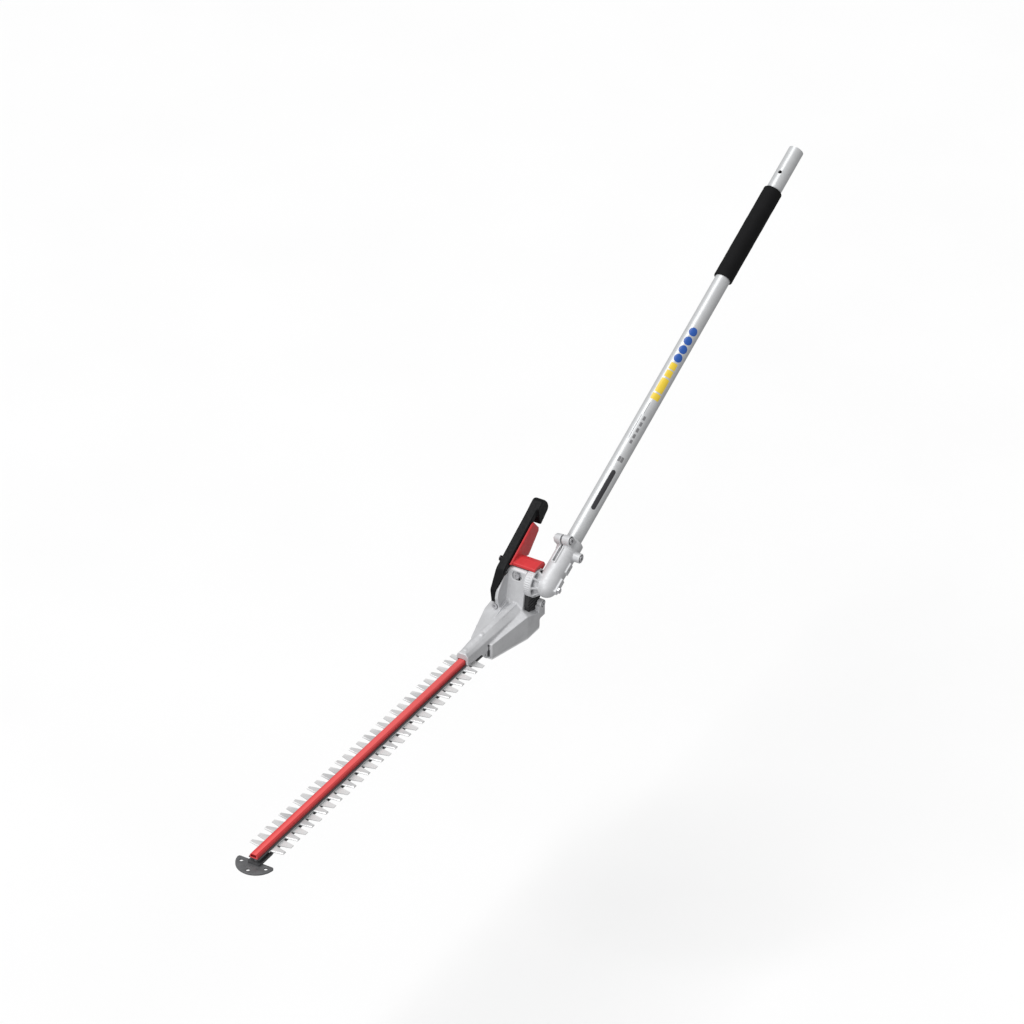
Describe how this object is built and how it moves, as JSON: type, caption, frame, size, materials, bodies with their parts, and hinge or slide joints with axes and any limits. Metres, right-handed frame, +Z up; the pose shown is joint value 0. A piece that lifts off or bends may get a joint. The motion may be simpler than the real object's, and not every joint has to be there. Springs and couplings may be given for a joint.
{
  "type": "articulating pole hedge trimmer attachment",
  "caption": "Long-reach hedge cutter attachment: straight tube, notched right-angle elbow, gear head with red lock lever and double-sided reciprocating blades.",
  "frame": {"origin": "centre of the tube's open spigot end, where it enters the power unit's coupling", "axes": "+X forward along the blade, +Y to the side away from the head, +Z up, square to the blade plane; the tube runs down and forward from the origin at 27 degrees"},
  "size_m": [1.4558, 0.1159, 0.468],
  "materials": {
    "cast_metal": "sand-cast texture, satin",
    "tube_metal": "satin anodised",
    "boot_rubber": "black moulded rubber",
    "foam": "matte closed-cell foam",
    "grip_plastic": "fine grained",
    "lever_plastic": "semi-gloss red",
    "rail_paint": "satin red coat",
    "blade_steel": "ground and lightly oiled",
    "bar_steel": "rolled steel, satin",
    "guard_paint": "satin grey coat",
    "strip_plastic": "dark wear strip",
    "gear_steel": "machined, oiled",
    "bearing_steel": "polished",
    "bronze": "sintered bronze",
    "screw_steel": "zinc plated",
    "dark_screw": "black oxide",
    "bushing_plastic": "natural nylon"
  },
  "bodies": {
    "pole": {"tube": "tube_metal", "foam_grip": "foam", "shaft_bushings": "bushing_plastic", "elbow_bearings": "bearing_steel", "bearing_snap_ring": "gear_steel", "elbow_case": "cast_metal", "clamp_bolt": "screw_steel", "locating_screw": "screw_steel", "grease_plug": "screw_steel", "cross_shaft_bushings": "bronze", "hub_retaining_ring": "gear_steel"},
    "drive_shaft": {"drive_shaft": "gear_steel", "input_bevel": "gear_steel"},
    "cross_shaft": {"cross_shaft": "gear_steel", "elbow_driven_bevel": "gear_steel", "head_drive_bevel": "gear_steel"},
    "head": {"head_case": "cast_metal", "bottom_cover": "cast_metal", "cover_screws": "screw_steel", "spindle_bearings": "bearing_steel", "crank_axle": "gear_steel", "guide_bar": "bar_steel", "guide_strip": "strip_plastic", "blade_rail": "rail_paint", "blade_bolts": "dark_screw", "rail_nuts": "dark_screw", "blade_spacers": "gear_steel", "tip_guard": "guard_paint", "guard_screw": "screw_steel", "hand_grip": "grip_plastic", "handle_screw": "screw_steel", "lever_pin": "dark_screw", "tower_screw": "screw_steel", "lug_screw": "screw_steel", "pivot_boot": "boot_rubber"},
    "spindle": {"spindle": "gear_steel", "spindle_bevel": "gear_steel", "spindle_pinion": "gear_steel"},
    "crank": {"crank_gear": "gear_steel", "lower_eccentric": "gear_steel"},
    "upper_rod": {"upper_con_rod": "gear_steel"},
    "lower_rod": {"lower_con_rod": "gear_steel"},
    "upper_blade": {"upper_blade": "blade_steel"},
    "lower_blade": {"lower_blade": "blade_steel"},
    "lock_lever": {"lock_lever": "lever_plastic"}
  },
  "joints": [
    {"name": "drive_spin", "type": "hinge", "parent": "pole", "child": "drive_shaft", "pos_m": [0.73241, 0, -0.37318], "axis": [-0.891, 0, 0.454], "continuous": true},
    {"name": "cross_spin", "type": "hinge", "parent": "pole", "child": "cross_shaft", "pos_m": [0.73241, 0, -0.37318], "axis": [0, -1, 0], "continuous": true},
    {"name": "head_pivot", "type": "hinge", "parent": "pole", "child": "head", "pos_m": [0.73241, -0.0528, -0.37318], "axis": [0, 1, 0], "range_deg": [-63, 63]},
    {"name": "spindle_spin", "type": "hinge", "parent": "head", "child": "spindle", "pos_m": [0.73241, -0.0528, -0.44208], "axis": [0, 0, 1], "continuous": true},
    {"name": "crank_spin", "type": "hinge", "parent": "head", "child": "crank", "pos_m": [0.76866, -0.0528, -0.44208], "axis": [0, 0, 1], "continuous": true},
    {"name": "upper_rod_turn", "type": "hinge", "parent": "crank", "child": "upper_rod", "pos_m": [0.77766, -0.0528, -0.43768], "axis": [0, 0, 1], "continuous": true},
    {"name": "lower_rod_turn", "type": "hinge", "parent": "crank", "child": "lower_rod", "pos_m": [0.75966, -0.0528, -0.44648], "axis": [0, 0, 1], "continuous": true},
    {"name": "upper_blade_slide", "type": "slide", "parent": "head", "child": "upper_blade", "axis": [1, 0, 0], "range_m": [-0.018, 0]},
    {"name": "lower_blade_slide", "type": "slide", "parent": "head", "child": "lower_blade", "axis": [1, 0, 0], "range_m": [0, 0.018]},
    {"name": "lever_squeeze", "type": "hinge", "parent": "head", "child": "lock_lever", "pos_m": [0.73591, -0.0648, -0.34758], "axis": [0, 1, 0], "range_deg": [0, 8], "stiffness_Nm_per_rad": 0.6}
  ],
  "couplings": [
    {"joint": "cross_spin", "follows": "drive_spin", "ratio": -1},
    {"joint": "spindle_spin", "follows": "drive_spin", "ratio": 1},
    {"joint": "crank_spin", "follows": "drive_spin", "ratio": -0.28889},
    {"joint": "upper_rod_turn", "follows": "drive_spin", "ratio": 0.28889},
    {"joint": "lower_rod_turn", "follows": "drive_spin", "ratio": 0.28889},
    {"joint": "lower_blade_slide", "follows": "upper_blade_slide", "ratio": -1}
  ]
}
